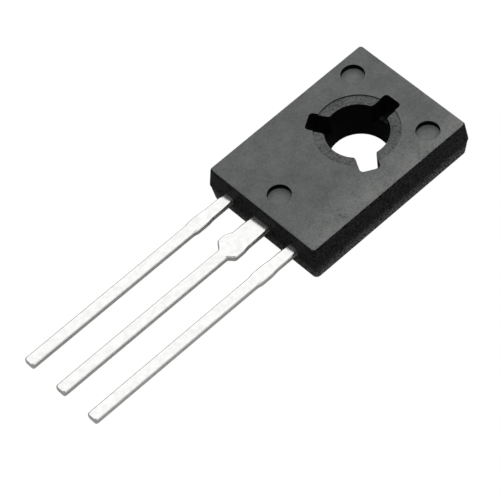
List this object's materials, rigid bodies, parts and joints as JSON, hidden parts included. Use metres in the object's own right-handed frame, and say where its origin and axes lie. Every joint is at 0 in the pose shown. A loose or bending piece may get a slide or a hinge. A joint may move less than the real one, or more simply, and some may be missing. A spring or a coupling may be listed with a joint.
{
  "type": "transistor",
  "caption": "Power transistor in a flat moulded plastic case with a slotted mounting hole, a bare metal tab on the back and flat tin-plated leads in a row.",
  "frame": {"origin": "centre of the mounting hole on the back face of the case", "axes": "+Z out of the front face along the mounting hole, +Y away from the leads, +X to the right seen from the front"},
  "size_m": [0.0076, 0.0241, 0.0025],
  "materials": {
    "moulded_epoxy": "black moulding compound, satin front and matt drafted sides",
    "tinned_copper": "bright tin plating over stamped copper",
    "solder": "dull grey soft solder",
    "silicon": "polished silicon, dark grey-blue",
    "bond_wire": "drawn aluminium wire"
  },
  "bodies": {
    "root": {"body": "moulded_epoxy", "collector_frame": "tinned_copper", "emitter_lead": "tinned_copper", "base_lead": "tinned_copper", "die_solder": "solder", "die": "silicon", "emitter_bond_wire": "bond_wire", "base_bond_wire": "bond_wire"}
  },
  "joints": []
}
